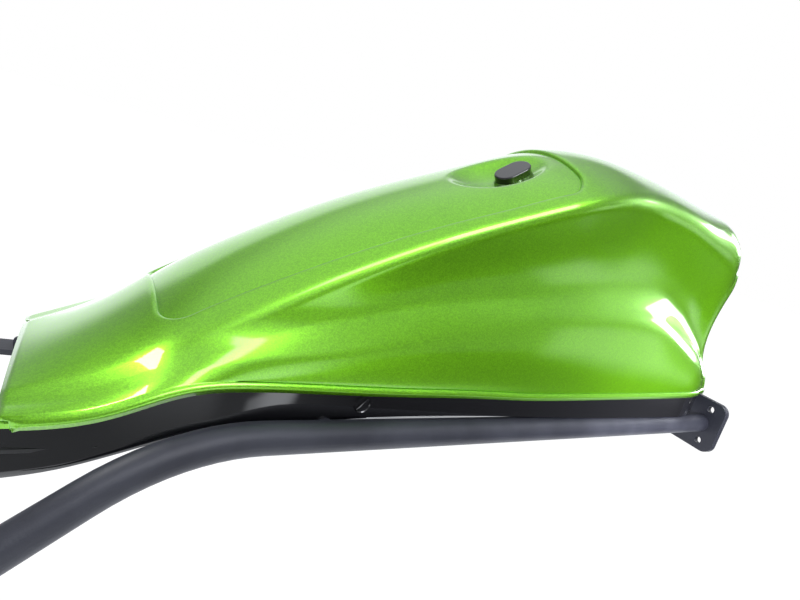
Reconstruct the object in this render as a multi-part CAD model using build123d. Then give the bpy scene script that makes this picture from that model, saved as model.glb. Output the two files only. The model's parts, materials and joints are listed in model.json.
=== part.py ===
from build123d import *
from math import cos, radians, sin, sqrt
import os

os.makedirs("parts", exist_ok=True)

# Storage cover in the shape of a fuel tank, on the two frame rails that carry it.
# X runs forwards, Y to the left, Z up. The origin is the middle of the head plate's front face.
# All sizes are in millimetres.

# Frame rails. Their bores are closed at both ends, so they are solid here.
TUBE_R = 11.0
RAIL_HEAD_Y = 40.0          # half spacing of the rails at the head plate
RAIL_BEND = (-644.0, 112.0, 0.0)     # where the straight stretch would meet the tail stretch
RAIL_TAIL = (-738.0, 140.0, -60.0)   # middle of the tail end
RAIL_BEND_R = 180.0
CROSS_R = 8.0
CROSS_X = {"front": -95.0, "middle": -300.0, "rear": -545.0}

# Head plate and tail lugs
HEAD_PLATE = (8.0, 130.0, 64.0)      # thickness, width, height
HEAD_PLATE_R = 12.0                  # its corners
HEAD_HOLES = (92.0, 42.0)            # spacing across and up
HEAD_HOLE_R = 4.25
LUG_T = 5.0
LUG_LENGTH = 46.0
LUG_WIDTH = 24.0
LUG_R = 11.0
LUG_HOLE_R = 4.25

# Cover: each row is one upright section of the outer skin, seen from the front. The crown is an arc
# over the top between the creases. Below a crease the side is hollow down to the ridge, and from
# there the belly swells out and comes back in to the lip.
COLUMNS = ("x", "crown_z", "crease_y", "crease_z", "ridge_y", "ridge_z", "lip_y", "lip_z", "hollow", "belly")
SECTIONS = [
    (-734.0, -3.0, 55.0, -5.0, 68.0, -8.0, 80.0, -14.0, 0.3, 0.2),
    (-684.0, 35.0, 66.5, 21.0, 84.0, 13.0, 99.0, 5.0, 1.0, 0.5),
    (-646.0, 72.0, 72.5, 47.5, 87.5, 34.0, 98.5, 21.5, 1.0, 0.5),
    (-603.0, 106.0, 76.5, 74.5, 87.5, 52.0, 95.0, 27.0, 1.5, 1.5),
    (-547.0, 143.5, 79.0, 109.0, 85.0, 67.0, 91.5, 27.5, 3.0, 3.0),
    (-487.0, 177.5, 81.0, 144.0, 82.5, 85.0, 88.0, 28.0, 6.0, 4.0),
    (-424.0, 209.5, 83.5, 176.0, 80.0, 98.0, 84.5, 29.5, 10.0, 5.0),
    (-360.0, 239.0, 86.0, 205.0, 77.5, 108.0, 81.0, 30.0, 15.0, 6.0),
    (-266.0, 250.5, 66.0, 223.5, 70.5, 116.0, 74.0, 33.0, 19.0, 6.0),
    (-172.0, 246.0, 54.0, 218.0, 61.0, 114.0, 64.5, 35.5, 20.0, 6.0),
    (-103.0, 241.0, 44.0, 205.0, 51.0, 96.0, 57.0, 37.5, 16.0, 5.0),
    (-62.0, 228.0, 35.0, 192.0, 43.0, 80.0, 50.0, 39.0, 10.0, 4.0),
    (-40.0, 203.0, 25.0, 176.0, 33.0, 70.0, 42.0, 40.0, 6.0, 3.0),
]
NOSE = [(0.0, 0.0), (8.5, 3.5), (12.0, 12.0)]   # rounding ahead of the last row: forwards, inwards
RIDGE_SHARE = 0.3           # how far the ridge and the belly lie down for each step in or out
SKIN = 3.5                  # wall of the cover in a section's plane
SKIN_LOW = 1.0              # by how much the inside is cut through below the lip
LIP_OUT = 2.2               # how far the bottom lip stands out
LIP_HIGH = 4.0

# Lid, in a plane that leans with it. Distances along the lid start at its rear edge.
LID_LEAN = 31.0             # degrees
LID_REAR = (-660.3, 49.5)   # a point of the rear edge's plane: x, z
LID_LENGTH = 349.0
LID_REAR_HALF = 59.0
LID_FRONT_HALF = 75.0
LID_REAR_R = 22.0
LID_FRONT_R = 20.0
LID_REAR_BOW = 5.0          # how far the rear edge's middle lies ahead of its corners
LID_FRONT_BOW = 10.0        # how far the front edge bulges forwards
LID_GAP = 1.6
LEDGE_DROP = 11.0           # from the outer skin down to the ledge
LEDGE_WIDE = 10.0
LEDGE_T = 2.5
SEAL_T = 3.0
SEAL_IN = 2.0               # from the opening's edge in to the seal
SEAL_WIDE = 5.0
INNER_T = 2.5               # wall of the lid's inner pan
INNER_IN = 2.0              # from the lid's edge in to the pan's
INNER_DROP = 5.0            # from the outer skin down to the inner pan's top
BLOCK_OVER = 28.0           # how far the plain block under the crown runs past the lid
BLOCK_IN = 3.0              # from the crease in to the block's side
BLOCK_CHORDS = 6            # straight stretches across its top
BLOCK_LOW = -30.0
RIM_LOW = -36.0

# Hinge
PIN = (-678.0, 18.0)        # x, z
PIN_R = 3.0
PIN_SLACK = 0.05
PIN_OVER = 2.0              # how far the pin stands out of each ear
HUB_R = 7.0
ARM_Y = 20.0                # middle of each hinge arm
ARM_T = 4.0
ARM_W = 9.0                 # width of the arm's strip
ARM_BEND_R = 9.0
ARM_PATH = [PIN, (-656.0, 8.0), (-634.0, 9.0), (-614.0, 30.0), (-606.0, 60.0), (-606.0, 112.0)]
EAR_T = 3.0
EAR_GAP = 1.0
EAR_R = 5.0
EAR_FOOT = 14.0             # half length of an ear at its foot
ARM_SLOT = (44.0, 64.0, 90.0)        # break in the ledge that the arms pass through: long, wide, high
ARM_SLOT_UP = 11.25         # from the lid's rear edge up to the break's middle

# Lock, off the middle towards the right side, in a dish whose floor leans more than the lid
LOCK_BACK = 44.0            # from the lid's front edge back to the lock
LOCK_Y = -20.0
LOCK_LEAN = 38.0            # degrees
LOCK_ROLL = 10.0            # degrees, towards the right side
DISH_DEEP = 12.0
DISH_LONG_R = 90.0          # radius of the floor along the lid
DISH_WIDE_R = 42.0          # and across it
DISH_WALL = 3.0
BARREL_R = 8.0
BARREL_LENGTH = 30.0
BARREL_UP = 3.0             # from the dish's floor up to the barrel's top
CAP = (34.0, 22.0, 6.0)     # length, width, height
CAP_ROUND = 1.5
CAM = (36.0, 12.0, 2.5)     # it lies across when open, and turns forwards under the keeper's hook
KEEPER_AHEAD = 14.0         # from the lid's front edge to the keeper's front face
KEEPER_DROP = 35.0          # from the crown down to the hook's underside
KEEPER_WIDE = 36.0
KEEPER_T = 2.5
KEEPER_REACH = 14.0
KEEPER_FLANGE = 24.0        # length of the strip along the ledge

# Skirt, base pan and storage bin
SKIRT_INSET = 1.2           # from the lip in to the skirt's face
SKIRT_T = 2.5
SKIRT_OVER = 20.0           # by how much a cutting block runs past the skirt
SKIRT_LOW = [(-730.0, -31.0), (-684.0, -17.0), (-603.0, 8.0), (-560.0, 12.0), (-40.0, 12.0)]  # x, z
PAN_T = 2.5
PAD = (22.0, 16.0, -2.0)    # length, width, underside
PAD_PLACE = 0.55            # share of the half spacing where a pad sits
BIN_AHEAD = 70.0            # from the lid's rear edge to the bin
BIN_BACK = 14.0             # from the lock back to the bin
BIN_FLOOR_Z = 22.0
BIN_IN = 1.0                # from the lid's rear half width in to the bin's side
BIN_R = 18.0
BIN_T = 2.5
BIN_NOTCH = 5.0             # clearance round the dish at the bin's front
SEAT_GAP = 0.3              # between pieces that rest on each other
TALL = 300.0                # more than the height of anything that is trimmed to shape


def column(name, x):
    """Value of one column of the section table at x, on straight lines between the rows."""
    i = COLUMNS.index(name)
    for a, b in zip(SECTIONS, SECTIONS[1:]):
        if x <= b[0]:
            return a[i] + (b[i] - a[i]) * (x - a[0]) / (b[0] - a[0])
    return SECTIONS[-1][i]


def on_line(points, x):
    for a, b in zip(points, points[1:]):
        if x <= b[0]:
            return a[1] + (b[1] - a[1]) * (x - a[0]) / (b[0] - a[0])
    return points[-1][1]


def cover_section(row, inset, x, lip_out):
    """Closed upright face of the cover, drawn in by inset, placed at x."""
    _, crown, crease_y, crease_z, ridge_y, ridge_z, lip_y, lip_z, hollow, belly = row
    crease = (crease_y - inset, crease_z - inset)
    ridge = (ridge_y - inset, ridge_z - RIDGE_SHARE * inset)
    foot = (lip_y - LIP_OUT - inset, lip_z + LIP_HIGH)
    waist = ((crease[0] + ridge[0]) / 2 - hollow, (crease[1] + ridge[1]) / 2)
    bulge = ((ridge[0] + foot[0]) / 2 + belly, (ridge[1] + foot[1]) / 2 + RIDGE_SHARE * belly)
    edge = [foot, (foot[0] + lip_out, foot[1]), (foot[0] + lip_out, lip_z)]
    if not lip_out:
        edge = [foot, (foot[0], lip_z - SKIN_LOW)]
    with BuildSketch(Plane.YZ.offset(x)) as face:
        with BuildLine():
            ThreePointArc((-crease[0], crease[1]), (0, crown - inset), crease)
            side = [ThreePointArc(crease, waist, ridge), ThreePointArc(ridge, bulge, foot), Polyline(*edge)]
            Line(edge[-1], (-edge[-1][0], edge[-1][1]))
            mirror(side, about=Plane.YZ)
        make_face()
    return face.sketch


def cover_body(inset, lip_out=0.0):
    """Solid inside the cover's skin, drawn in by inset all round."""
    rows = [row for row in SECTIONS if row[1] - row[7] > 2 * inset]
    first, last = rows[0], rows[-1]
    body = loft([cover_section(row, inset, max(row[0], first[0] + inset), lip_out) for row in rows])
    shrink = 1 - inset / NOSE[-1][0]
    nose = [cover_section(last, inset + inwards, last[0] + shrink * forwards, lip_out)
            for forwards, inwards in NOSE]
    return body + loft(nose, ruled=True)


LEAN = radians(LID_LEAN)
LID_PLANE = Plane(
    origin=(LID_REAR[0], 0, LID_REAR[1]),
    x_dir=(cos(LEAN), 0, sin(LEAN)),
    z_dir=(-sin(LEAN), 0, cos(LEAN)),
)


def lid_x(along):
    return LID_REAR[0] + along * cos(LEAN)


def lid_prism(grow, low=-18.0, high=60.0):
    """Rounded prism through the cover along the lid's own upright, its outline grown by grow."""
    rear, front = LID_REAR_HALF + grow, LID_FRONT_HALF + grow
    length = LID_LENGTH + grow
    with BuildSketch(LID_PLANE.offset(low)) as outline:
        with BuildLine():
            side = Line((-grow, -rear), (length - LID_FRONT_BOW, -front))
            front_edge = ThreePointArc(side @ 1, (length, 0), (length - LID_FRONT_BOW, front))
            Line(front_edge @ 1, (-grow, rear))
            ThreePointArc((-grow, rear), (LID_REAR_BOW - grow, 0), side @ 0)
        make_face()
        corners = outline.vertices().sort_by(Axis.X)
        fillet(corners[:2], LID_REAR_R + grow)
        fillet(outline.vertices().sort_by(Axis.X)[-2:], LID_FRONT_R + grow)
    return extrude(outline.sketch, high - low)


def rod(path, radius):
    with BuildSketch(Plane(origin=path @ 0, z_dir=path % 0)) as cut:
        Circle(radius)
    return sweep(cut.sketch, path=path)


def save(name, shape):
    shape.label = name
    export_step(shape, f"parts/{name}.step")


SIDES = {"left": 1, "right": -1}
OUTER = cover_body(0, LIP_OUT)
UNDER_SKIN = cover_body(SKIN)


def make_rails():
    ahead = TALL / 2 - HEAD_PLATE[0]
    for side, sign in SIDES.items():
        points = [(0, rail_y(0), 0), RAIL_BEND, RAIL_TAIL]
        points = [(x, y * sign, z) for x, y, z in points]
        rail = rod(FilletPolyline(*points, radius=RAIL_BEND_R), TUBE_R)
        save(f"rail_{side}", rail - Pos(ahead, 0, 0) * Box(TALL, TALL, TALL))


def rail_y(x):
    """Half spacing of the rails' middles along their straight stretch."""
    share = (x - RAIL_BEND[0]) / (-HEAD_PLATE[0] - RAIL_BEND[0])
    return RAIL_BEND[1] + share * (RAIL_HEAD_Y - RAIL_BEND[1])


def make_cross_tubes():
    for name, x in CROSS_X.items():
        half = rail_y(x)
        bar = rod(Line((x, -half, 0), (x, half, 0)), CROSS_R)
        for sign in SIDES.values():
            bar -= rod(Line((0, rail_y(0) * sign, 0), (RAIL_BEND[0], RAIL_BEND[1] * sign, 0)), TUBE_R)
        between_rails = bar.solids().sort_by(SortBy.VOLUME)[-1]
        save(f"cross_tube_{name}", between_rails)


def make_pads():
    """Rubber saddles between the cross tubes and the base pan, one near each end of a tube."""
    pads = []
    long, wide, low = PAD
    high = on_line(SKIRT_LOW, CROSS_X["front"])
    for x in CROSS_X.values():
        for sign in SIDES.values():
            y = sign * PAD_PLACE * rail_y(x)
            pad = Pos(x, y, (low + high) / 2) * Box(long, wide, high - low)
            pads.append(pad - Pos(x, y, 0) * Rot(90, 0, 0) * Cylinder(CROSS_R, 2 * wide))
    save("rubber_pads", Compound(children=pads))


def make_head_plate():
    thick, wide, high = HEAD_PLATE
    plate = Pos(-thick / 2, 0, 0) * Box(thick, wide, high)
    plate = fillet(plate.edges().filter_by(Axis.X), HEAD_PLATE_R)
    with BuildSketch(Plane.YZ) as holes:
        with GridLocations(*HEAD_HOLES, 2, 2):
            Circle(HEAD_HOLE_R)
    plate -= extrude(holes.sketch, -thick)
    save("head_plate", plate)


def make_lugs():
    """Flat tongues closing the rails' tail ends, each with one upright hole."""
    x, y, z = RAIL_TAIL
    for side, sign in SIDES.items():
        run = Vector(x - RAIL_BEND[0], y - RAIL_BEND[1], z - RAIL_BEND[2]).normalized()
        tongue = Pos(x - LUG_LENGTH / 2, y * sign, z) * Box(LUG_LENGTH, LUG_WIDTH, LUG_T)
        tongue = fillet(tongue.edges().filter_by(Axis.Z).group_by(Axis.X)[0], LUG_R)
        tongue -= Pos(x - LUG_LENGTH + LUG_WIDTH / 2, y * sign, z) * Cylinder(LUG_HOLE_R, 2 * LUG_T)
        rail_end = Plane(origin=(x, y * sign, z), z_dir=(run.X, run.Y * sign, run.Z))
        behind = extrude(rail_end * Rectangle(TALL, TALL), TALL)
        save(f"tail_lug_{side}", tongue & behind)


def crown_at(x, y):
    """Height of the outer skin's crown over a point."""
    crown, crease_y, crease_z = (column(name, x) for name in ("crown_z", "crease_y", "crease_z"))
    rise = crown - crease_z
    radius = (crease_y ** 2 + rise ** 2) / (2 * rise)
    return crown - radius + sqrt(radius ** 2 - y ** 2)


def crown_block(inset):
    """Plain block under the crown over the lid's length, its top drawn in by inset."""
    first, last = lid_x(-BLOCK_OVER), lid_x(LID_LENGTH + BLOCK_OVER)
    faces = []
    for x in [first] + [row[0] for row in SECTIONS if first < row[0] < last] + [last]:
        wide = column("crease_y", x) - BLOCK_IN
        across = [wide * (2 * i / BLOCK_CHORDS - 1) for i in range(BLOCK_CHORDS + 1)]
        top = [(y, crown_at(x, y) - inset) for y in across]
        with BuildSketch(Plane.YZ.offset(x)) as face:
            with BuildLine():
                Polyline(*top, (wide, BLOCK_LOW), (-wide, BLOCK_LOW), close=True)
            make_face()
        faces.append(face.sketch)
    return loft(faces, ruled=True)


def arm_slot():
    long, wide, high = ARM_SLOT
    return Pos(LID_REAR[0], 0, LID_REAR[1] + ARM_SLOT_UP) * Box(long, wide, high)


def rim_ring(out, wide, top, thick):
    """Ring under the crown that follows the lid's outline, from out inwards by wide."""
    ring = lid_prism(out, RIM_LOW) - lid_prism(out - wide, RIM_LOW)
    return (ring & crown_block(top)) - crown_block(top + thick) - arm_slot()


def make_shell():
    shell = OUTER - UNDER_SKIN - lid_prism(LID_GAP)
    riser = lid_prism(LID_GAP + LEDGE_T, RIM_LOW) - lid_prism(LID_GAP, RIM_LOW)
    riser = (riser & UNDER_SKIN) - crown_block(LEDGE_DROP + LEDGE_T) - arm_slot()
    ledge = rim_ring(LID_GAP + LEDGE_T / 2, LEDGE_WIDE, LEDGE_DROP, LEDGE_T)
    save("shell", shell + riser + ledge)
    save("seal", rim_ring(LID_GAP - SEAL_IN, SEAL_WIDE, LEDGE_DROP - SEAL_T, SEAL_T))


LOCK_X = lid_x(LID_LENGTH) - LOCK_BACK
LOCK_UP = Vector(-sin(radians(LOCK_LEAN)) * cos(radians(LOCK_ROLL)), -sin(radians(LOCK_ROLL)),
                 cos(radians(LOCK_LEAN)) * cos(radians(LOCK_ROLL)))
LOCK_PLANE = Plane(
    origin=Vector(LOCK_X, LOCK_Y, crown_at(LOCK_X, LOCK_Y)) - LOCK_UP * DISH_DEEP,
    x_dir=(cos(radians(LOCK_LEAN)), 0, sin(radians(LOCK_LEAN))),
    z_dir=LOCK_UP,
)


def dish(grow):
    """Ring standing on the lock's plane. Its lowest part is the dish, grown by grow."""
    ring = Rot(90, 0, 0) * Torus(DISH_LONG_R - DISH_WIDE_R, DISH_WIDE_R + grow)
    return LOCK_PLANE * Pos(0, 0, DISH_LONG_R) * ring


def make_lid():
    block = OUTER & lid_prism(0)
    bowl = (dish(DISH_WALL) & block) - dish(0)
    hole = LOCK_PLANE * Cylinder(BARREL_R + PIN_SLACK, 2 * BARREL_LENGTH)
    save("lid_skin", (block - UNDER_SKIN) - dish(0) + bowl - hole)

    inner = (lid_prism(-INNER_IN, RIM_LOW) & crown_block(INNER_DROP)) - crown_block(INNER_DROP + INNER_T)
    save("lid_inner", inner - dish(DISH_WALL + SEAT_GAP))

    foot = BARREL_UP - BARREL_LENGTH
    barrel = LOCK_PLANE * Pos(0, 0, BARREL_UP - BARREL_LENGTH / 2) * Cylinder(BARREL_R, BARREL_LENGTH)
    save("lock_barrel", barrel)
    length, width, height = CAP
    with BuildSketch(LOCK_PLANE.offset(BARREL_UP)) as oval:
        SlotOverall(length, width)
    cap = extrude(oval.sketch, height)
    top = max(cap.faces(), key=lambda f: (f.center() - LOCK_PLANE.origin).dot(LOCK_UP))
    save("lock_cap", fillet(top.edges(), CAP_ROUND))
    long, wide, thick = CAM
    cam = LOCK_PLANE * Pos(0, (long - wide) / 2, foot - thick / 2) * Box(wide, long, thick)
    save("lock_cam", cam)


def make_keeper():
    """Bent strip under the front ledge, with the hook that the lock's cam turns under."""
    front, wide, thick = lid_x(LID_LENGTH) + KEEPER_AHEAD, KEEPER_WIDE, KEEPER_T
    low = column("crown_z", front) - KEEPER_DROP
    under = crown_block(LEDGE_DROP + LEDGE_T)
    plate = Pos(front - thick / 2, LOCK_Y, low + TALL / 2) * Box(thick, wide, TALL)
    hook = Pos(front - KEEPER_REACH / 2, LOCK_Y, low + thick / 2) * Box(KEEPER_REACH, wide, thick)
    flange = Pos(front - KEEPER_FLANGE / 2, LOCK_Y, low + TALL / 2) * Box(KEEPER_FLANGE, wide, TALL)
    flange = (flange & under) - crown_block(LEDGE_DROP + LEDGE_T + thick)
    save("keeper", ((plate + hook) & under) + flange)


def make_hinge():
    with BuildSketch(Plane.XZ) as flat:
        with BuildLine():
            FilletPolyline(*ARM_PATH, radius=ARM_BEND_R)
        trace(line_width=ARM_W)
        with Locations(PIN):
            Circle(HUB_R)
            Circle(PIN_R + PIN_SLACK, mode=Mode.SUBTRACT)
    lid_under = crown_block(INNER_DROP + INNER_T)
    for side, sign in SIDES.items():
        arm = extrude(flat.sketch, ARM_T)
        arm = Pos(0, ARM_Y * sign + ARM_T / 2, 0) * arm
        save(f"hinge_arm_{side}", arm & lid_under)
    ear_y = ARM_Y + ARM_T / 2 + EAR_GAP
    low = on_line(SKIRT_LOW, PIN[0] - EAR_FOOT)
    for side, sign in SIDES.items():
        with BuildSketch(Plane.XZ) as ear:
            with BuildLine():
                Polyline((PIN[0] - EAR_FOOT, low), (PIN[0] + EAR_FOOT, low), (PIN[0] + EAR_R, PIN[1]),
                         (PIN[0] - EAR_R, PIN[1]), close=True)
            make_face()
            with Locations(PIN):
                Circle(EAR_R)
                Circle(PIN_R + PIN_SLACK, mode=Mode.SUBTRACT)
        plate = Pos(0, sign * (ear_y + EAR_T / 2) + EAR_T / 2, 0) * extrude(ear.sketch, EAR_T)
        plate &= ABOVE_PAN
        save(f"hinge_ear_{side}", plate)
    reach = 2 * (ear_y + EAR_T + PIN_OVER)
    save("hinge_pin", Pos(PIN[0], 0, PIN[1]) * Rot(90, 0, 0) * Cylinder(PIN_R, reach))


def tub(inset, top, low):
    """Block inside the skirt: top is measured from the lip, low from the skirt's low edge."""
    faces = []
    first, last = SECTIONS[0][0], SECTIONS[-1][0]
    for x in sorted({row[0] for row in SECTIONS} | {x for x, _ in SKIRT_LOW[1:-1]}):
        x = min(max(x, first + SKIRT_INSET + inset), last - SKIRT_INSET - inset)
        half = column("lip_y", x) - SKIRT_INSET - inset
        roof = column("lip_z", x) + top
        floor = on_line(SKIRT_LOW, x) + low
        with BuildSketch(Plane.YZ.offset(x)) as face:
            with BuildLine():
                Polyline((-half, floor), (half, floor), (half, roof), (-half, roof), close=True)
            make_face()
        faces.append(face.sketch)
    return loft(faces, ruled=True)


ABOVE_PAN = tub(-SKIRT_OVER, SKIRT_OVER, PAN_T)


def make_base():
    skirt = tub(0, LIP_HIGH / 2, 0) - tub(SKIRT_T, SKIRT_OVER, -SKIRT_OVER)
    skirt -= Pos(0, 0, -SEAT_GAP) * OUTER
    for side, sign in SIDES.items():
        half = Pos(SECTIONS[0][0] / 2, sign * TALL, 0) * Box(3 * TALL, 2 * TALL, 2 * TALL)
        under_lip = (skirt & half).solids().sort_by(SortBy.VOLUME)[-1]
        save(f"skirt_{side}", under_lip)
    save("base_pan", tub(SKIRT_T + SEAT_GAP, 0, 0) - ABOVE_PAN)


def make_bin():
    rear, front = lid_x(0) + BIN_AHEAD, LOCK_X - BIN_BACK
    half = LID_REAR_HALF - BIN_IN

    def box(wall):
        body = Pos((front + rear) / 2, 0, BIN_FLOOR_Z + wall + TALL / 2) * Box(
            front - rear - 2 * wall, 2 * (half - wall), TALL)
        return fillet(body.edges().filter_by(Axis.Z), BIN_R - wall)

    under = crown_block(LEDGE_DROP + LEDGE_T + SEAT_GAP)
    save("storage_bin", (box(0) & under) - box(BIN_T) - dish(DISH_WALL + BIN_NOTCH))


make_rails()
make_cross_tubes()
make_pads()
make_head_plate()
make_lugs()
make_shell()
make_lid()
make_hinge()
make_keeper()
make_base()
make_bin()
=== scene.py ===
import bpy
import bmesh
import json
import math
import numpy as np
from mathutils import Matrix, Vector


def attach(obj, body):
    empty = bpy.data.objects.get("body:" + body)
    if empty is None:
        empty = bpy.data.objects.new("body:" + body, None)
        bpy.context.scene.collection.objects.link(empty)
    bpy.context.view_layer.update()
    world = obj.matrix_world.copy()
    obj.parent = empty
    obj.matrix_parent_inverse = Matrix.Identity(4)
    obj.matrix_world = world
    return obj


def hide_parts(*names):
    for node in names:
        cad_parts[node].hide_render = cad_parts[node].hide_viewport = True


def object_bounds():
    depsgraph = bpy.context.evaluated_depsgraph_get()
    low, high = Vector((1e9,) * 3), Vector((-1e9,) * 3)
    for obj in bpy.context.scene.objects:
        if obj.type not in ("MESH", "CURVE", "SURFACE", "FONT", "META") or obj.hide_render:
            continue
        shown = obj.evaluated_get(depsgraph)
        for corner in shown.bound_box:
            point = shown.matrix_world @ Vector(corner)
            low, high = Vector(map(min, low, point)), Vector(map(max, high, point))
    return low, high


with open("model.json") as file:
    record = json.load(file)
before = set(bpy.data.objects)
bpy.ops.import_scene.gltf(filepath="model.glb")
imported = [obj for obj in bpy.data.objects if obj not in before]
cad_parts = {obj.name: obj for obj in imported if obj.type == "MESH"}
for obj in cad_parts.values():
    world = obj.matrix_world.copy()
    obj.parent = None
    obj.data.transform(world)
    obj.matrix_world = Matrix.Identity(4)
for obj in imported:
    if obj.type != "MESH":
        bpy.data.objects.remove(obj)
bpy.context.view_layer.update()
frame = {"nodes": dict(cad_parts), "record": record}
mm = 0.001
tiny = 1e-6  # what is smaller than this counts as nothing
print("frame loaded:", len(frame["nodes"]), "nodes")


# shader maths that reads as plain Python: a Wire stands for one socket of a node tree
class Wire:
    def __init__(self, tree, socket):
        self.tree = tree
        self.socket = socket

    def node(self, kind, settings=None, inputs=None, out=0):
        made = self.tree.nodes.new(kind)
        for name, value in (settings or {}).items():
            setattr(made, name, value)
        for key, value in (inputs or {}).items():
            if isinstance(value, Wire):
                self.tree.links.new(value.socket, made.inputs[key])
            else:
                made.inputs[key].default_value = value
        return Wire(self.tree, made.outputs[out])

    def math(self, operation, a, b=0.0):
        return self.node("ShaderNodeMath", {"operation": operation}, {0: a, 1: b})

    def __add__(self, other):
        return self.math("ADD", self, other)

    def __radd__(self, other):
        return self.math("ADD", other, self)

    def __sub__(self, other):
        return self.math("SUBTRACT", self, other)

    def __rsub__(self, other):
        return self.math("SUBTRACT", other, self)

    def __mul__(self, other):
        return self.math("MULTIPLY", self, other)

    def __rmul__(self, other):
        return self.math("MULTIPLY", other, self)

    def smooth(self, low, high):
        return self.node("ShaderNodeMapRange", {"interpolation_type": "SMOOTHSTEP"},
                         {"Value": self, "From Min": low, "From Max": high})

    def mix(self, a, b):
        return self.node("ShaderNodeMix", {"data_type": "RGBA"}, {0: self, 6: a, 7: b}, out=2)

    def mixLevel(self, a, b):
        return self.node("ShaderNodeMix", {"data_type": "FLOAT"}, {0: self, 2: a, 3: b})

    def noise(self, scale, detail, rough=0.5):
        return self.node("ShaderNodeTexNoise", {},
                         {"Vector": self, "Scale": scale, "Detail": detail, "Roughness": rough})

    def cells(self, scale, out="Distance"):
        return self.node("ShaderNodeTexVoronoi", {}, {"Vector": self, "Scale": scale}, out=out)


def newMaterial(name, fixed):
    made = bpy.data.materials.new(name)
    made.use_nodes = True
    tree = made.node_tree
    shader = tree.nodes["Principled BSDF"]
    for key, value in fixed.items():
        shader.inputs[key].default_value = value
    place = tree.nodes.new("ShaderNodeTexCoord")
    return made, shader, Wire(tree, place.outputs["Object"])


def feed(shader, **wires):
    for key, wire in wires.items():
        wire.tree.links.new(wire.socket, shader.inputs[key.replace("_", " ")])


def bump(height, strength, distance):
    return height.node("ShaderNodeBump", {},
                       {"Height": height, "Strength": strength, "Distance": distance})


# in the looks a noise is given as scale, detail and roughness, and a bump as strength and distance
paintLook = {
    "fixed": {"Metallic": 0.72, "Coat Weight": 1.0, "Coat Roughness": 0.03, "Coat IOR": 1.5},
    "deep": (0.120, 0.400, 0.003, 1),
    "bright": (0.270, 0.740, 0.010, 1),
    "flakeScale": 1600.0,
    "flakeShare": 0.55,
    "cloud": (9.0, 3.0),
    "cloudShare": 0.45,
    "rough": 0.34,
    "roughChange": 0.12,
    "bump": (0.10, 0.00004),
}


def paintMaterial():
    look = paintLook
    made, shader, at = newMaterial("greenPaint", look["fixed"])
    flake = at.cells(look["flakeScale"], out="Color")
    grain = flake.node("ShaderNodeSeparateColor", {}, {0: flake})
    share = grain * look["flakeShare"] + at.noise(*look["cloud"]) * look["cloudShare"]
    feed(shader, Base_Color=share.mix(look["deep"], look["bright"]))
    feed(shader, Roughness=look["rough"] + (grain - 0.5) * look["roughChange"])
    feed(shader, Normal=bump(grain, *look["bump"]))
    return made


glossBlackLook = {
    "fixed": {"Base Color": (0.010, 0.010, 0.012, 1), "Coat Weight": 0.6, "Coat Roughness": 0.04,
              "IOR": 1.5},
    "haze": (40.0, 4.0),
    "rough": 0.07,
    "roughChange": 0.07,
    "waves": (14.0, 2.0),
    "bump": (0.06, 0.0008),
}


def glossBlackMaterial():
    look = glossBlackLook
    made, shader, at = newMaterial("glossBlack", look["fixed"])
    feed(shader, Roughness=look["rough"] + at.noise(*look["haze"]) * look["roughChange"])
    feed(shader, Normal=bump(at.noise(*look["waves"]), *look["bump"]))
    return made


powderLook = {
    "fixed": {"IOR": 1.5},
    "colour": (0.022, 0.023, 0.034, 1),
    "worn": (0.042, 0.044, 0.060, 1),
    "cloud": (20.0, 3.0),
    "wornFrom": (0.35, 0.7),
    "grain": (900.0, 3.0, 0.6),
    "lumpScale": 720.0,
    "height": 0.6,
    "rough": 0.42,
    "roughChange": 0.18,
    "bump": (0.55, 0.00012),
}


def powderMaterial():
    look = powderLook
    made, shader, at = newMaterial("powderCoat", look["fixed"])
    grain = at.noise(*look["grain"])
    lumps = at.cells(look["lumpScale"])
    worn = at.noise(*look["cloud"]).smooth(*look["wornFrom"])
    feed(shader, Base_Color=worn.mix(look["colour"], look["worn"]))
    feed(shader, Roughness=look["rough"] + grain * look["roughChange"])
    feed(shader, Normal=bump(grain * look["height"] + lumps * look["height"], *look["bump"]))
    return made


plasticLook = {
    "fixed": {"IOR": 1.46},
    "dark": (0.014, 0.014, 0.015, 1),
    "pale": (0.026, 0.026, 0.028, 1),
    "cloud": (15.0, 3.0),
    "grain": (1400.0, 2.0),
    "rough": 0.48,
    "roughChange": 0.2,
    "bump": (0.35, 0.00008),
}


def plasticMaterial():
    look = plasticLook
    made, shader, at = newMaterial("blackPlastic", look["fixed"])
    grain = at.noise(*look["grain"])
    feed(shader, Base_Color=at.noise(*look["cloud"]).mix(look["dark"], look["pale"]))
    feed(shader, Roughness=look["rough"] + grain * look["roughChange"])
    feed(shader, Normal=bump(grain, *look["bump"]))
    return made


rubberLook = {
    "fixed": {"IOR": 1.5},
    "dark": (0.010, 0.010, 0.010, 1),
    "pale": (0.022, 0.022, 0.021, 1),
    "grain": (600.0, 3.0),
    "rough": 0.66,
    "roughChange": 0.2,
    "bump": (0.3, 0.00008),
}


def rubberMaterial():
    look = rubberLook
    made, shader, at = newMaterial("rubber", look["fixed"])
    grain = at.noise(*look["grain"])
    feed(shader, Base_Color=grain.mix(look["dark"], look["pale"]))
    feed(shader, Roughness=look["rough"] + grain * look["roughChange"])
    feed(shader, Normal=bump(grain, *look["bump"]))
    return made


steelLook = {
    "fixed": {"Metallic": 1.0},
    "finishes": {"zincSteel": ((0.56, 0.55, 0.52), 0.28), "platedLock": ((0.66, 0.66, 0.66), 0.16)},
    "stretch": (1.0, 9.0, 1.0),
    "scratch": (260.0, 4.0),
    "cloud": (30.0, 3.0),
    "paleFrom": (0.3, 0.7),
    "darkShare": 0.7,
    "roughChange": 0.14,
    "bump": (0.12, 0.00006),
}


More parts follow.
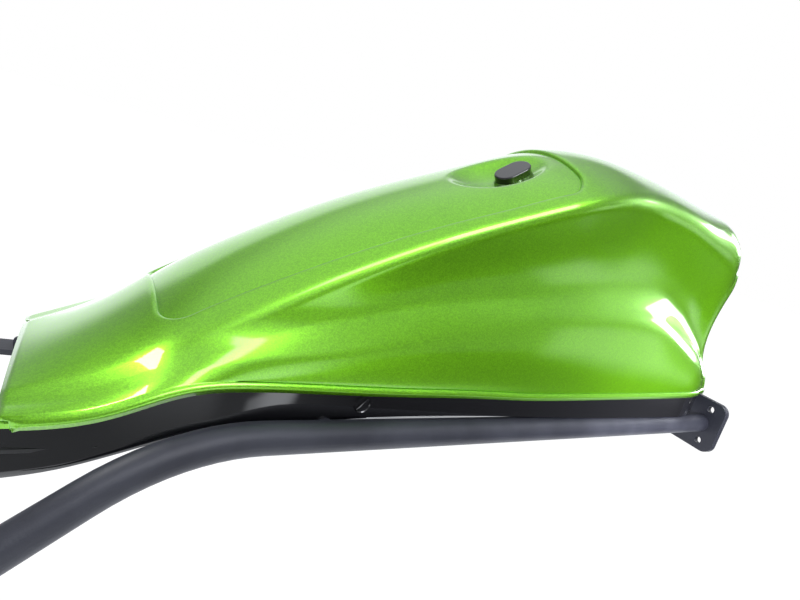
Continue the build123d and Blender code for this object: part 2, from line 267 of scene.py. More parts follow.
def steelMaterial(name):
    look = steelLook
    colour, rough = look["finishes"][name]
    made, shader, at = newMaterial(name, look["fixed"])
    stretched = at.node("ShaderNodeMapping", {}, {"Vector": at, "Scale": look["stretch"]})
    scratch = stretched.noise(*look["scratch"])
    pale = at.noise(*look["cloud"]).smooth(*look["paleFrom"])
    dark = tuple(look["darkShare"] * c for c in colour)
    feed(shader, Base_Color=pale.mix((*dark, 1), (*colour, 1)))
    feed(shader, Roughness=rough + scratch * look["roughChange"])
    feed(shader, Normal=bump(scratch, *look["bump"]))
    return made


looks = {
    "paint": paintMaterial(),
    "skirt": glossBlackMaterial(),
    "frame": powderMaterial(),
    "black_plastic": plasticMaterial(),
    "seal": rubberMaterial(),
    "steel": steelMaterial("zincSteel"),
    "lock_body": steelMaterial("platedLock"),
}
for entry in frame["record"]["subparts"]:
    node = frame["nodes"][entry["node"]]
    node.data.materials.clear()
    node.data.materials.append(looks[entry["material_slot"]])
print("materials made:", len(looks))


# outer skin of the cover: upright sections, millimetres, X forwards from the head plate
cover = {
    # crease, ridge and lip run along the side. Hollow and belly are how far the faces between them
    # curve in and out, the rounds are cut back from each edge, and turn is the share of the way down
    # from the crease at which the hollow bends most
    "columns": ("x", "crownZ", "creaseY", "creaseZ", "ridgeY", "ridgeZ", "lipY", "lipZ", "hollow",
                "belly", "creaseRound", "ridgeRound", "turn"),
    "sections": [
        (-734, -3.0, 55.0, -5.0, 68.0, -8.0, 80.0, -14.0, 0.3, 0.2, 2.0, 2.0, 0.50),
        (-684, 35.0, 66.5, 21.0, 84.0, 13.0, 99.0, 5.0, 1.0, 0.5, 4.0, 6.0, 0.50),
        (-646, 72.0, 72.5, 47.5, 87.5, 34.0, 98.5, 21.5, 1.0, 0.5, 5.0, 5.0, 0.50),
        (-603, 106.0, 76.5, 74.5, 87.5, 52.0, 95.0, 27.0, 1.5, 1.5, 6.0, 7.0, 0.50),
        (-547, 143.5, 79.0, 109.0, 85.0, 67.0, 91.5, 27.5, 3.0, 3.0, 6.5, 14.0, 0.52),
        (-487, 177.5, 81.0, 144.0, 82.5, 85.0, 88.0, 28.0, 6.0, 4.0, 7.0, 15.0, 0.56),
        (-424, 209.5, 83.5, 176.0, 80.0, 98.0, 84.5, 29.5, 10.0, 5.0, 7.0, 13.0, 0.60),
        (-360, 239.0, 86.0, 205.0, 77.0, 107.5, 81.0, 30.0, 15.0, 5.0, 8.0, 10.0, 0.64),
        (-266, 250.5, 66.0, 223.5, 66.5, 114.0, 74.0, 33.0, 18.0, 3.5, 11.0, 9.0, 0.66),
        (-172, 246.0, 54.0, 218.0, 55.0, 111.5, 64.5, 35.5, 23.0, 3.5, 13.0, 10.0, 0.68),
        (-103, 241.0, 44.0, 205.0, 45.0, 93.5, 57.0, 37.5, 27.0, 3.5, 14.0, 12.0, 0.70),
        (-62, 228.0, 35.0, 192.0, 37.5, 78.0, 50.0, 39.0, 22.0, 3.0, 14.0, 12.0, 0.70),
        (-40, 203.0, 25.0, 176.0, 28.5, 68.5, 42.0, 40.0, 10.0, 2.5, 12.0, 10.0, 0.70),
    ],
    "rows": 160,
    "crownSteps": 30,
    "creaseSteps": 10,
    "hollowSteps": 16,
    "ridgeSteps": 6,
    "bellySteps": 10,
    "noseSteps": 6,
    "noseRound": 12.0,
    "ringSteps": 6,
    "holeRows": (-672.0, -346.0),
    "wall": 2.5,
    "hollowPull": 1.9,
    "bellyLift": 0.3,
    "bellyRoundShare": 0.9,
    "lipOut": 2.2,
    "lipHigh": 4.0,
    "footUp": 1.5,
    # the lip's rounded edge, outwards and up: from its top corner, then from its low corner
    "lipTop": [(-1.4, 0.5), (-0.5, 0.1), (0.0, -0.7)],
    "lipLow": [(0.0, 0.7), (-0.25, 0.2), (-0.8, 0.0), (-3.0, 0.0)],
}
fine = 200  # points that a curve is worked out with before it is divided evenly


def splineThrough(xs, ys):
    # natural cubic spline through the points
    n = len(xs)
    h = np.diff(xs)
    a = np.eye(n)
    b = np.zeros(n)
    for i in range(1, n - 1):
        a[i, i - 1:i + 2] = h[i - 1], 2 * (h[i - 1] + h[i]), h[i]
        b[i] = 6 * ((ys[i + 1] - ys[i]) / h[i] - (ys[i] - ys[i - 1]) / h[i - 1])
    m = np.linalg.solve(a, b)

    def value(x):
        i = int(np.clip(np.searchsorted(xs, x) - 1, 0, n - 2))
        left, right = x - xs[i], xs[i + 1] - x
        cubic = (m[i] * right ** 3 + m[i + 1] * left ** 3) / (6 * h[i])
        fromLeft = (ys[i] / h[i] - m[i] * h[i] / 6) * right
        fromRight = (ys[i + 1] / h[i] - m[i + 1] * h[i] / 6) * left
        return cubic + fromLeft + fromRight
    return value


table = np.array(cover["sections"], float)
column = {name: splineThrough(table[:, 0], table[:, i]) for i, name in enumerate(cover["columns"]) if i}


def crownZ(x, y):
    # height of the crown's arc over the point (x, y)
    crown, creaseY, creaseZ = (column[name](x) for name in ("crownZ", "creaseY", "creaseZ"))
    rise = crown - creaseZ
    radius = (creaseY ** 2 + rise ** 2) / (2 * rise)
    return crown - radius + math.sqrt(max(radius ** 2 - y ** 2, 0.0))


def arcPoints(start, middle, end, steps):
    # points on the arc through three points, from start to end
    (ax, ay), (bx, by), (cx, cy) = start, middle, end
    d = 2 * (ax * (by - cy) + bx * (cy - ay) + cx * (ay - by))
    shares = np.linspace(0, 1, steps + 1)
    if abs(d) < tiny:
        return [(ax + (cx - ax) * t, ay + (cy - ay) * t) for t in shares]
    aa, bb, cc = ax * ax + ay * ay, bx * bx + by * by, cx * cx + cy * cy
    ux = (aa * (by - cy) + bb * (cy - ay) + cc * (ay - by)) / d
    uy = (aa * (cx - bx) + bb * (ax - cx) + cc * (bx - ax)) / d
    radius = math.hypot(ax - ux, ay - uy)
    first, via, last = (math.atan2(y - uy, x - ux) for x, y in (start, middle, end))
    via = (via - first + math.pi) % (2 * math.pi) - math.pi
    last = (last - first + math.pi) % (2 * math.pi) - math.pi
    if last * via < 0:
        last += math.copysign(2 * math.pi, via)
    return [(ux + radius * math.cos(first + last * t), uy + radius * math.sin(first + last * t))
            for t in shares]


def cut(points, a, b, steps):
    # the stretch of a polyline between lengths a and b, evenly divided; b counts back from the end
    # where it isn't above zero
    points = np.array(points)
    length = np.r_[0, np.cumsum(np.linalg.norm(np.diff(points, axis=0), axis=1))]
    b = length[-1] + b if b <= 0 else b
    at = np.linspace(a, b, steps + 1)
    return np.c_[np.interp(at, length, points[:, 0]), np.interp(at, length, points[:, 1])]


def bent(start, corner, end, t):
    # points of the curve that leaves start and reaches end along the lines to the corner
    return start * (1 - t) ** 2 + corner * 2 * t * (1 - t) + end * t ** 2


def blend(before, corner, after, steps):
    # rounded corner between the ends of two runs of points
    return bent(before[-1], corner, after[0], np.linspace(0, 1, steps + 1)[1:-1, None])


def sideSection(x):
    # one half section from the crown's middle down to the inside of the lip: y, z
    c = {name: column[name](x) for name in cover["columns"][1:]}
    crease, ridge, lip = (np.array((c[name + "Y"], c[name + "Z"])) for name in ("crease", "ridge", "lip"))
    out, up = lip
    high = cover["lipHigh"]
    foot = (out - cover["lipOut"], up + high + cover["footUp"])
    chord = ridge - crease
    inwards = np.array((chord[1], -chord[0])) / np.hypot(*chord)
    turn = crease + chord * c["turn"] + inwards * c["hollow"] * cover["hollowPull"]
    hollow = bent(crease, turn, ridge, np.linspace(0, 1, fine + 1)[:, None])
    belly = ((ridge[0] + foot[0]) / 2 + c["belly"],
             (ridge[1] + foot[1]) / 2 + c["belly"] * cover["bellyLift"])
    crown = arcPoints((-crease[0], crease[1]), (0, c["crownZ"]), crease, 2 * fine)[fine:]
    top = cut(crown, 0.0, -c["creaseRound"], cover["crownSteps"])
    middle = cut(hollow, c["creaseRound"], -c["ridgeRound"], cover["hollowSteps"])
    low = cut(arcPoints(ridge, belly, foot, fine), c["ridgeRound"] * cover["bellyRoundShare"], 0.0,
              cover["bellySteps"])
    edge = [(out + y, up + high + z) for y, z in cover["lipTop"]]
    edge += [(out + y, up + z) for y, z in cover["lipLow"]]
    return np.concatenate([top, blend(top, crease, middle, cover["creaseSteps"]), middle,
                           blend(middle, ridge, low, cover["ridgeSteps"]), low, edge])


def coverSections():
    # places along X and their half sections
    last = table[-1, 0]
    places = list(np.linspace(table[0, 0], last, cover["rows"] + 1))
    sections = [sideSection(x) for x in places]
    front = sections[-1]
    foot = np.array((0.0, front[-1][1]))
    for step in range(1, cover["noseSteps"] + 1):
        # rounds the nose over: the last section shrinks towards its foot along a quarter circle
        a = math.pi / 2 * step / cover["noseSteps"]
        inwards = cover["noseRound"] * (1 - math.cos(a))
        scale = np.array((1 - inwards / front[:, 0].max(), 1 - inwards / (front[0][1] - foot[1])))
        places.append(last + cover["noseRound"] * math.sin(a))
        sections.append(foot + (front - foot) * scale)
    return np.array(places), sections


stations, half = coverSections()
print("cover sections:", len(half), "rows of", len(half[0]), "points a side")


# the lid and its opening: the outline lies in a plane that leans up from the rear edge's x, z
lid = {
    "lean": 31.0,
    "rear": (-660.3, 49.5),
    "length": 349.0,
    "rearBow": 5.0,
    "frontBow": 10.0,
    "rearHalf": 59.0,
    "frontHalf": 75.0,
    "rearRound": 22.0,
    "frontRound": 20.0,
    "cornerPull": 0.56,
    "cornerPoints": 60,
    "gap": 1.6,
    "edgeRound": 1.0,
    "edgeSteps": 4,
    "deep": 3.5,
    "openingDeep": 7.0,
    "wall": 2.2,
    "rows": 150,
    "cols": 90,
    "crownPasses": 14,
}
lean = math.radians(lid["lean"])
lidUp = Vector((-math.sin(lean), 0, math.cos(lean)))


def onCrown(p, q):
    # point of the crown above the lid plane's point (p, q): x, y, z
    x0, z0 = lid["rear"]
    w = 0.0
    for _ in range(lid["crownPasses"]):
        x = x0 + p * math.cos(lean) - w * math.sin(lean)
        w = (crownZ(x, q) - z0 - p * math.sin(lean)) / math.cos(lean)
    return np.array((x, q, z0 + p * math.sin(lean) + w * math.cos(lean)))


def scaledOutline(grow, counts):
    # the outline's right, front, left and rear runs of (p, q), counter-clockwise seen from above, each
    # from one corner's middle to the next; counts gives the steps of a side and of an end
    rearHalf, frontHalf = lid["rearHalf"] + grow, lid["frontHalf"] + grow
    rear, front = -grow, lid["length"] - lid["frontBow"] + grow

    def side(a, b):
        return [(a[0] + (b[0] - a[0]) * t, a[1] + (b[1] - a[1]) * t) for t in np.linspace(0, 1, fine)]

    def end(p, bow, reach, way):
        return [(p + bow * (1 - (q / reach) ** 2), q)
                for q in np.linspace(-way * reach, way * reach, fine)]
    runs = [side((rear, -rearHalf), (front, -frontHalf)), end(front, lid["frontBow"], frontHalf, 1),
            side((front, frontHalf), (rear, rearHalf)), end(rear, lid["rearBow"], rearHalf, -1)]
    rounds = [lid[name] + grow for name in ("frontRound", "frontRound", "rearRound", "rearRound")]
    straights, corners = [], []
    for i, run in enumerate(runs):
        middle = cut(run, rounds[i - 1], -rounds[i], fine)
        following = cut(runs[(i + 1) % len(runs)], rounds[i], 0.0, 2)[0]
        t = np.linspace(0, 1, lid["cornerPoints"])[:, None]
        # the corner is a cubic curve close to a circle's quarter
        start, sharp = middle[-1], np.array(run[-1])
        leave = start + (sharp - start) * lid["cornerPull"]
        arrive = following + (sharp - following) * lid["cornerPull"]
        straights.append(middle)
        corners.append(start * (1 - t) ** 3 + leave * 3 * t * (1 - t) ** 2
                       + arrive * 3 * t ** 2 * (1 - t) + following * t ** 3)
    mid = lid["cornerPoints"] // 2
    return [cut(np.concatenate([corners[i - 1][mid:], straights[i][1:], corners[i][1:mid + 1]]),
                0.0, 0.0, counts[i % 2]) for i in range(len(runs))]


def rimPairs(begin, finish, rows, cols, width):
    # points round a block of a grid, each with its places on the outlines where its edge begins and ends
    (rear, front), (right, left) = rows, cols
    pairs = {}
    for k in range(front - rear + 1):
        pairs[(rear + k) * width + right] = (begin[0][k], finish[0][k])
        pairs[(front - k) * width + left] = (begin[2][k], finish[2][k])
    for k in range(left - right + 1):
        pairs[front * width + right + k] = (begin[1][k], finish[1][k])
        pairs[rear * width + left - k] = (begin[3][k], finish[3][k])
    return pairs


def gridPiece(across, along, place):
    # a grid of quads whose points go where place(i, j) says; home keeps each point's number
    bm = bmesh.new()
    home = bm.verts.layers.int.new("home")
    bmesh.ops.create_grid(bm, x_segments=across, y_segments=along, size=1.0)
    for v in bm.verts:
        i = round((v.co.x + 1) / 2 * across)
        j = round((v.co.y + 1) / 2 * along)
        v[home] = j * (across + 1) + i
        v.co = Vector(place(i, j)) * mm
    return bm, home


sharpAngle = math.radians(40.0)


def finishPiece(name, bm, body, slotName, replaced=(), wall=0.0):
    bmesh.ops.recalc_face_normals(bm, faces=bm.faces)
    mesh = bpy.data.meshes.new(name)
    for face in bm.faces:
        face.smooth = True
    for edge in bm.edges:
        if len(edge.link_faces) == 2 and edge.calc_face_angle(0.0) > sharpAngle:
            edge.smooth = False
    bm.to_mesh(mesh)
    bm.free()
    made = bpy.data.objects.new(name, mesh)
    bpy.context.scene.collection.objects.link(made)
    mesh.materials.append(looks[slotName])
    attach(made, body)
    if replaced:
        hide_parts(*replaced)
    if wall:
        sheet = made.modifiers.new("wall", "SOLIDIFY")
        sheet.thickness = wall * mm
        sheet.offset = -1.0


def extrudeRim(bm, edges, place):
    # extrudes a rim of edges and puts each new point where place(point) says
    made = bmesh.ops.extrude_edge_only(bm, edges=edges)["geom"]
    verts = {g for g in made if isinstance(g, bmesh.types.BMVert)}
    for v in verts:
        v.co = place(v)
    return [g for g in made if isinstance(g, bmesh.types.BMEdge) and verts.issuperset(g.verts)]


def rolledEdge(bm, edges, home, pairs, deep):
    # rounds a rim over to the lid plane's normal and draws it down
    r = lid["edgeRound"]
    for step in range(1, lid["edgeSteps"] + 1):
        a = math.pi / 2 * step / lid["edgeSteps"]

        def move(v):
            start, end = (np.array(pq) for pq in pairs[v[home]])
            over = Vector(onCrown(*(start + (end - start) * math.sin(a))))
            return (over - lidUp * r * (1 - math.cos(a))) * mm
        edges = extrudeRim(bm, edges, move)
    extrudeRim(bm, edges, lambda v: v.co - lidUp * deep * mm)


def makeShell():
    steps = len(half[0]) - 1
    width = 2 * steps + 1
    last = len(stations) - 1

    def spot(i, j):
        y, z = half[j][abs(i - steps)]
        return (stations[j], math.copysign(y, i - steps) if i != steps else 0.0, z)
    bm, home = gridPiece(2 * steps, last, spot)
    # flat wall across the nose, in one face
    nose = sorted((v for v in bm.verts if v[home] // width == last), key=lambda v: v[home])
    bmesh.ops.contextual_create(bm, geom=nose)
    # a block of faces comes out for the lid, and its rim is drawn in to the opening's outline
    across = cover["crownSteps"]
    rear, front = (int(np.searchsorted(stations, x)) for x in cover["holeRows"])
    outer, inner = (scaledOutline(grow, (front - rear, 2 * across))
                    for grow in (lid["gap"] + lid["edgeRound"], lid["gap"]))
    pairs = rimPairs(outer, inner, (rear, front), (steps - across, steps + across), width)
    inside = []
    for face in bm.faces:
        cells = [divmod(v[home], width) for v in face.verts]
        if all(rear <= j <= front and abs(i - steps) <= across for j, i in cells):
            inside.append(face)
    bmesh.ops.delete(bm, geom=inside, context="FACES")
    rim = [e for e in bm.edges if e.is_boundary and all(v[home] in pairs for v in e.verts)]
    starts = {v[home]: v.co / mm for e in rim for v in e.verts}
    for share in np.linspace(0, 1, cover["ringSteps"] + 1)[1:]:
        def move(v):
            end = Vector(onCrown(*pairs[v[home]][0]))
            flat = starts[v[home]].lerp(end, share)
            return Vector((flat.x, flat.y, crownZ(flat.x, flat.y))) * mm
        rim = extrudeRim(bm, rim, move)
    rolledEdge(bm, rim, home, pairs, lid["openingDeep"])
    bmesh.ops.remove_doubles(bm, verts=bm.verts, dist=tiny)
    finishPiece("coverShell", bm, "base", "paint", ["shell"], cover["wall"])


makeShell()
print("shell made")


# the dish round the lock: long and wide round are the radii of its floor along and across it
lock = {
    "back": 44.0,
    "y": -20.0,
    "lean": 38.0,
    "roll": 10.0,
    "deep": 12.0,
    "longRound": 90.0,
    "wideRound": 42.0,
    "reachShare": 0.98,
    "rimRound": 0.9,
    "rimReach": 12.0,
}
lockLean, lockRoll = math.radians(lock["lean"]), math.radians(lock["roll"])
lockUp = np.array((-math.sin(lockLean) * math.cos(lockRoll), -math.sin(lockRoll),
                   math.cos(lockLean) * math.cos(lockRoll)))
lockAlong = np.array((math.cos(lockLean), 0.0, math.sin(lockLean)))
lockAcross = np.cross(lockUp, lockAlong)
lockX = lid["rear"][0] + lid["length"] * math.cos(lean) - lock["back"]
lockFoot = np.array((lockX, lock["y"], crownZ(lockX, lock["y"]))) - lockUp * lock["deep"]


def scooped(point):
    # moves a point of the lid's skin down into the dish, with a rounded rim where the two meet
    a, b, c = (float(np.dot(point - lockFoot, way)) for way in (lockAlong, lockAcross, lockUp))
    if abs(b) >= lock["wideRound"] * lock["reachShare"]:
        return point
    reach = lock["longRound"] - lock["wideRound"] + math.sqrt(lock["wideRound"] ** 2 - b * b)
    if abs(a) >= reach * lock["reachShare"]:
        return point
    gap = lock["longRound"] - math.sqrt(reach ** 2 - a * a) - c
    k = lock["rimRound"]
    if gap > lock["rimReach"] * k:
        return point
    return point - lockUp * (k * math.log1p(math.exp(-gap / k)))


def makeLid():
    rows, cols = lid["rows"], lid["cols"]
    inner, outer = (scaledOutline(grow, (rows, cols)) for grow in (-lid["edgeRound"], 0.0))
    right, front, left, rear = inner[0], inner[1], inner[2][::-1], inner[3][::-1]

    def spot(i, j):
        # blends the four runs of the outline: i across from right to left, j along from the rear
        u, v = i / cols, j / rows
        rearCorners = right[0] * (1 - u) + left[0] * u
        frontCorners = right[-1] * (1 - u) + left[-1] * u
        corners = rearCorners * (1 - v) + frontCorners * v
        p, q = right[j] * (1 - u) + left[j] * u + rear[i] * (1 - v) + front[i] * v - corners
        return scooped(onCrown(p, q))
    bm, home = gridPiece(cols, rows, spot)
    pairs = rimPairs(inner, outer, (0, rows), (0, cols), cols + 1)
    rolledEdge(bm, [e for e in bm.edges if e.is_boundary], home, pairs, lid["deep"])
    finishPiece("lidSkin", bm, "lid", "paint", ["lid_skin"], lid["wall"])


makeLid()
print("lid made")


skirt = {
    "inset": 1.2,
    "tuck": 2.0,
    "wall": 2.5,
    # low edge: x, z. Ahead of the tail it ends in a flange that follows the rail under it
    "lowEdge": [(-733, -46.0), (-705, -32.5), (-681, -20.5), (-656, -10.7), (-629, -2.6), (-598, 2.6),
                (-572, 3.4), (-545, 1.0), (-520, 0.0), (-400, 0.0), (-41, 0.0)],
    # at the tail the face leans inwards towards its top; the lean ends between these two stations
    "lean": 0.42,
    "leanEnds": (-628.0, -572.0),
    "rows": 110,
    "steps": 10,
    "flangeSteps": 6,
}
rail = {"radius": 11.0, "headY": 40.0, "bendY": 112.0, "headX": -8.0, "bendX": -644.0, "gap": 1.5}


def railY(x):
    # how far out the middle of the rail's straight stretch lies
    share = (x - rail["headX"]) / (rail["bendX"] - rail["headX"])
    return rail["headY"] + share * (rail["bendY"] - rail["headY"])


def skirtLean(x):
    # the lean's slope at x: full at the tail, none ahead of the second station
    rear, ahead = skirt["leanEnds"]
    share = min(max((x - rear) / (ahead - rear), 0.0), 1.0)
    return skirt["lean"] * (1.0 - share * share * (3.0 - 2.0 * share))


def makeSkirt(name, side):
    edge = np.array(skirt["lowEdge"], float)
    lowZ = splineThrough(edge[:, 0], edge[:, 1])
    # the first and the last row lie on the middle plane and close the ends
    xs = np.linspace(edge[0, 0], edge[-1, 0], skirt["rows"])
    xs = np.concatenate([xs[:1], xs, xs[-1:]])
    last = len(xs) - 1
    down, curl = skirt["steps"], skirt["flangeSteps"]
    reach = rail["radius"] + rail["gap"]

    def spot(i, j):
        x = xs[j]
        face = column["lipY"](x) - skirt["inset"]
        top, low, middle = column["lipZ"](x) + skirt["tuck"], lowZ(x), railY(x)
        meet = low
        if x > rail["bendX"] and abs(face - middle) < reach:
            meet = max(low, math.sqrt(reach ** 2 - (face - middle) ** 2))
        z = top + (meet - top) * min(i / down, 1.0)
        y = face - skirtLean(x) * (z - meet)
        if i > down and meet > low:
            start, end = math.atan2(meet, face - middle), math.pi - math.asin(low / reach)
            turned = start + (end - start) * (i - down) / curl
            y, z = middle + reach * math.cos(turned), reach * math.sin(turned)
        if j in (0, last):
            y = 0.0
        return (x, side * y, z)
    bm, _ = gridPiece(down + curl, last, spot)
    bmesh.ops.remove_doubles(bm, verts=bm.verts, dist=tiny)
    finishPiece(name + "Skin", bm, "base", "skirt", [name], skirt["wall"])


makeSkirt("skirt_left", 1)
makeSkirt("skirt_right", -1)
print("skirts made")


fastener = {
    "x": -519.0,
    "z": 19.5,
    "radius": 6.8,
    "topShare": 0.94,
    "segments": 40,
    "proud": 1.0,
    "ring": 0.7,
    "sunk": 0.6,
    "bar": (11.5, 2.6, 1.2),
    "barUp": 0.9,
    "barBevel": 0.35,
    "barBevelSteps": 2,
    "turned": 52.0,
    "slopeReach": 5.0,
    "facingUp": 0.9,
}


def makeFasteners():
    # quarter-turn studs through the skirts: a low round head with a sunk top and a bar across it
    bm = bmesh.new()
    x, near, r = fastener["x"], fastener["slopeReach"], fastener["radius"]
    out = column["lipY"](x) - skirt["inset"]
    slope = math.atan((column["lipY"](x + near) - column["lipY"](x - near)) / (2 * near))
    for side in (-1, 1):
        head = bmesh.ops.create_cone(bm, cap_ends=True, segments=fastener["segments"], radius1=r,
                                     radius2=r * fastener["topShare"], depth=fastener["proud"] * 2)["verts"]
        top = [f for f in bm.faces
               if f.normal.z > fastener["facingUp"] and all(v in head for v in f.verts)]
        rim = bmesh.ops.inset_region(bm, faces=top, thickness=fastener["ring"])["faces"]
        floor = list({v for f in top for v in f.verts})
        bmesh.ops.translate(bm, verts=floor, vec=(0, 0, -fastener["sunk"]))
        head = {v for f in rim + top for v in f.verts} | set(head)
        bar = bmesh.ops.create_cube(bm, size=1.0)["verts"]
        bmesh.ops.scale(bm, verts=bar, vec=fastener["bar"])
        bmesh.ops.translate(bm, verts=bar, vec=(0, 0, fastener["barUp"]))
        spun = Matrix.Rotation(math.radians(fastener["turned"]), 3, "Z")
        bmesh.ops.rotate(bm, verts=bar, matrix=spun)
        edges = list({e for v in bar for e in v.link_edges})
        more = bmesh.ops.bevel(bm, geom=edges, offset=fastener["barBevel"],
                               segments=fastener["barBevelSteps"], profile=0.5, affect="EDGES", material=-1)
        verts = list(head | {v for v in bar if v.is_valid} | set(more["verts"]))
        outwards = Matrix.Rotation(side * slope, 3, "Z") @ Matrix.Rotation(-side * math.pi / 2, 3, "X")
        bmesh.ops.rotate(bm, verts=verts, matrix=outwards)
        bmesh.ops.translate(bm, verts=verts, vec=(x, side * out, fastener["z"]))
    bmesh.ops.scale(bm, verts=bm.verts, vec=(mm, mm, mm))
    finishPiece("skirtFasteners", bm, "base", "skirt")


makeFasteners()
print("fasteners made")


studio = {
    "floorDrop": 0.42,
    "floorSize": 60.0,
    "floorLook": {"Base Color": (0.86, 0.86, 0.87, 1), "Roughness": 0.9},
    "floorGlow": 0.86,
    "floorShade": (0.30, 0.30, 0.30, 1),
    "white": (1.0, 1.0, 1.0, 1),
    "plain": 0.60,
    "tint": (0.93, 0.96, 1.0, 1),
    # what the paint and the metal reflect: a dim room with a paler ceiling, and a pale floor that
    # fades in below the horizon and out again round the direction floorGap
    "room": 0.34,
    "ceiling": 0.80,
    "ceilingFrom": (0.50, 0.85),
    "paleFloor": 1.3,
    "floorFrom": (-0.30, -0.02),
    "floorGap": (0.87, -0.5),
    "floorGapFrom": (0.76, 0.87),
    # soft lights and the white backdrop on the far side: azimuth, elevation, half width, half height,
    # soft edge (degrees) and level. The dark cards have the same values, with the share they take away
    "softLights": {
        "backdrop": (68.0, 10.0, 44.0, 24.0, 10.0, 1.0),
        "creaseNear": (-99.0, 51.0, 11.0, 7.0, 5.0, 7.0),
        "creaseFar": (-69.0, 47.0, 9.0, 11.0, 4.0, 9.0),
        "sideFill": (-100.0, 34.0, 34.0, 14.0, 14.0, 0.7),
        "ridgeBand": (-46.0, 24.0, 20.0, 5.0, 8.0, 0.25),
        "noseGlow": (-27.0, -2.0, 9.0, 8.0, 7.0, 0.7),
        "sideLow": (-76.0, -12.0, 12.0, 12.0, 6.0, 1.2),
        "noseBox": (3.0, 14.0, 8.0, 8.0, 2.5, 9.0),
    },
    "darkCards": {
        "low": (-36.0, -24.0, 24.0, 17.0, 5.0, 0.85),
        "ahead": (6.0, -8.0, 20.0, 14.0, 10.0, 0.9),
        "overhead": (12.0, 48.0, 26.0, 18.0, 12.0, 0.35),
    },
    "halfFade": 0.05,  # a light fades out this close to the plane across its direction, as a cosine
    # a wide lamp over the aim point: azimuth, elevation and distance, then width, height, power
    "aim": (-0.42, 0.0, 0.12),
    "topSoft": (60.0, 74.0, 2.2, 1.6, 1.2, 8.0),
    # a small lamp close to the tail: place, what it faces, width, height, power
    "tailLamp": ((-0.722, -0.077, 0.074), (-0.722, -0.096, 0.018), 0.060, 0.018, 0.055),
    # a lamp that brightens the front of the belly and shows in no reflection
    "bellyLamp": ((-0.100, -0.250, 0.055), (-0.210, -0.070, 0.060), 0.100, 0.050, 1.5),
}


def makeStage():
    low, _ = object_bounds()
    bm = bmesh.new()
    bmesh.ops.create_grid(bm, x_segments=1, y_segments=1, size=studio["floorSize"] / 2)
    bmesh.ops.translate(bm, verts=bm.verts, vec=(0, 0, low.z - studio["floorDrop"]))
    mesh = bpy.data.meshes.new("floor")
    bm.to_mesh(mesh)
    bm.free()
    floor = bpy.data.objects.new("floor", mesh)
    bpy.context.scene.collection.objects.link(floor)
    made, shader, at = newMaterial("floorWhite", studio["floorLook"])
    # the camera sees the backdrop's white with a faint share of the shaded floor, so the shadow stays
    glow = at.node("ShaderNodeEmission", {}, {"Strength": studio["floorGlow"]})
    shade = at.node("ShaderNodeBsdfDiffuse", {}, {"Color": studio["floorShade"]})
    white = at.node("ShaderNodeAddShader", {}, {0: glow, 1: shade})
    toCamera = at.node("ShaderNodeLightPath", out="Is Camera Ray")
    plain = Wire(at.tree, shader.outputs[0])
    shown = at.node("ShaderNodeMixShader", {}, {0: toCamera, 1: plain, 2: white})
    at.tree.links.new(shown.socket, at.tree.nodes["Material Output"].inputs["Surface"])
    mesh.materials.append(made)
    floor.visible_glossy = False


def compass(azimuth, height):
    az, el = math.radians(azimuth), math.radians(height)
    return Vector((math.cos(az) * math.cos(el), math.sin(az) * math.cos(el), math.sin(el)))


def softLight(way, azimuth, height, halfWide, halfHigh, soft, level):
    # a rectangle of light with soft edges on the world's sphere, on the half that it lies in
    def along(axis):
        return way.node("ShaderNodeVectorMath", {"operation": "DOT_PRODUCT"}, {0: way, 1: axis},
                        out="Value")
    ahead = compass(azimuth, height)
    across = Vector((0, 0, 1)).cross(ahead).normalized()
    depth = along(ahead)
    shown = depth.smooth(0.0, studio["halfFade"]) * level
    for axis, reach in ((across, halfWide), (ahead.cross(across), halfHigh)):
        side = depth.math("ABSOLUTE", depth.math("DIVIDE", along(axis), depth))
        low, high = (math.tan(math.radians(reach + step * soft)) for step in (-0.5, 0.5))
        shown = shown * (1.0 - side.smooth(low, high))
    return shown


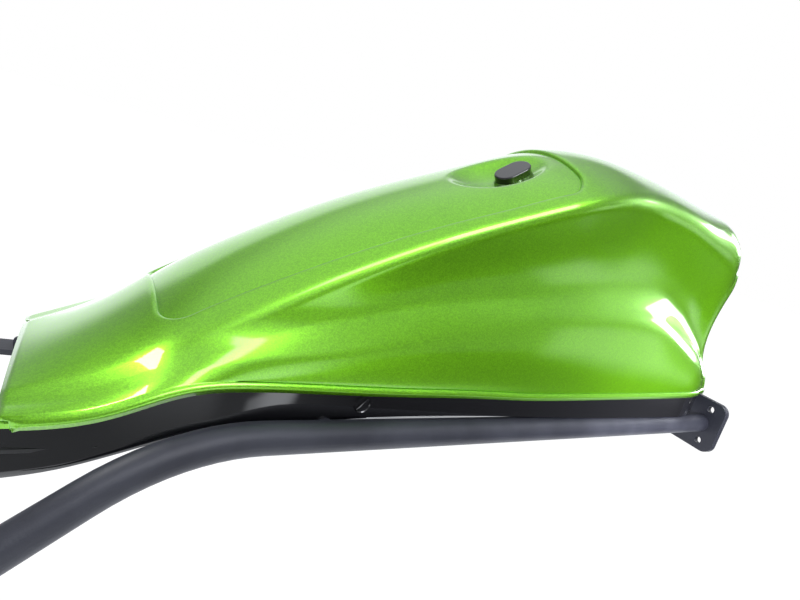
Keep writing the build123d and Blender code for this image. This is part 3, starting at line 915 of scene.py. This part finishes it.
def makeWorld():
    # the camera sees white everywhere, dull surfaces get plain light, and glossy ones see the studio
    world = bpy.data.worlds.new("studio")
    bpy.context.scene.world = world
    world.use_nodes = True
    tree = world.node_tree
    back = tree.nodes["Background"]
    way = Wire(tree, tree.nodes.new("ShaderNodeTexCoord").outputs["Generated"])
    split = way.node("ShaderNodeSeparateXYZ", {}, {0: way})
    toX, toY, toZ = (Wire(tree, split.socket.node.outputs[k]) for k in range(3))
    gapX, gapY = studio["floorGap"]
    below = 1.0 - toZ.smooth(*studio["floorFrom"])
    outsideGap = 1.0 - (toX * gapX + toY * gapY).smooth(*studio["floorGapFrom"])
    level = studio["room"] + toZ.smooth(*studio["ceilingFrom"]) * studio["ceiling"]
    level = level + below * outsideGap * studio["paleFloor"]
    for card in studio["darkCards"].values():
        level = level * (1.0 - softLight(way, *card))
    for place in studio["softLights"].values():
        level = level + softLight(way, *place)
    path = tree.nodes.new("ShaderNodeLightPath")
    toCamera, glossy, through = (Wire(tree, path.outputs[kind]) for kind in
                                 ("Is Camera Ray", "Is Glossy Ray", "Is Transmission Ray"))
    strength = glossy.math("MAXIMUM", glossy, through).mixLevel(studio["plain"], level)
    tint = toCamera.mix(studio["tint"], studio["white"])
    tree.links.new(tint.socket, back.inputs["Color"])
    tree.links.new(toCamera.mixLevel(strength, 1.0).socket, back.inputs["Strength"])
    world.cycles.sampling_method = "NONE"


def makeLamp(name, place, target, wide, high, power):
    data = bpy.data.lights.new(name, "AREA")
    data.shape = "RECTANGLE"
    data.size, data.size_y = wide, high
    data.energy = power
    made = bpy.data.objects.new(name, data)
    bpy.context.scene.collection.objects.link(made)
    made.visible_camera = False
    made.location = place
    made.rotation_euler = (Vector(target) - Vector(place)).to_track_quat("-Z", "Y").to_euler()
    return made


def makeLamps():
    aim = Vector(studio["aim"])
    azimuth, height, far, *size = studio["topSoft"]
    makeLamp("topSoft", aim + compass(azimuth, height) * far, aim, *size).visible_glossy = False
    makeLamp("tailLamp", *studio["tailLamp"])
    makeLamp("bellyLamp", *studio["bellyLamp"]).visible_glossy = False


# the photograph's viewpoint, worked out from its perspective; focal length and width in its pixels
viewpoint = {
    "place": (-0.712, -0.4134, 0.180),
    "right": (0.84761, -0.44480, 0.28933),
    "forward": (0.50877, 0.83613, -0.20505),
    "focal": 560.0,
    "width": 800.0,
    "sensor": 36.0,
    "clipStart": 0.01,
}


def makeCamera():
    right = Vector(viewpoint["right"]).normalized()
    forward = Vector(viewpoint["forward"])
    forward = (forward - right * forward.dot(right)).normalized()
    data = bpy.data.cameras.new("camera")
    data.lens = viewpoint["focal"] / viewpoint["width"] * viewpoint["sensor"]
    data.sensor_width = viewpoint["sensor"]
    data.clip_start = viewpoint["clipStart"]
    made = bpy.data.objects.new("camera", data)
    bpy.context.scene.collection.objects.link(made)
    turn = Matrix((right, right.cross(forward), -forward)).transposed()
    made.matrix_world = Matrix.Translation(viewpoint["place"]) @ turn.to_4x4()
    bpy.context.scene.camera = made


makeStage()
makeWorld()
makeCamera()
makeLamps()
bpy.context.scene.view_settings.view_transform = "Standard"
print("stage, lights and camera made")
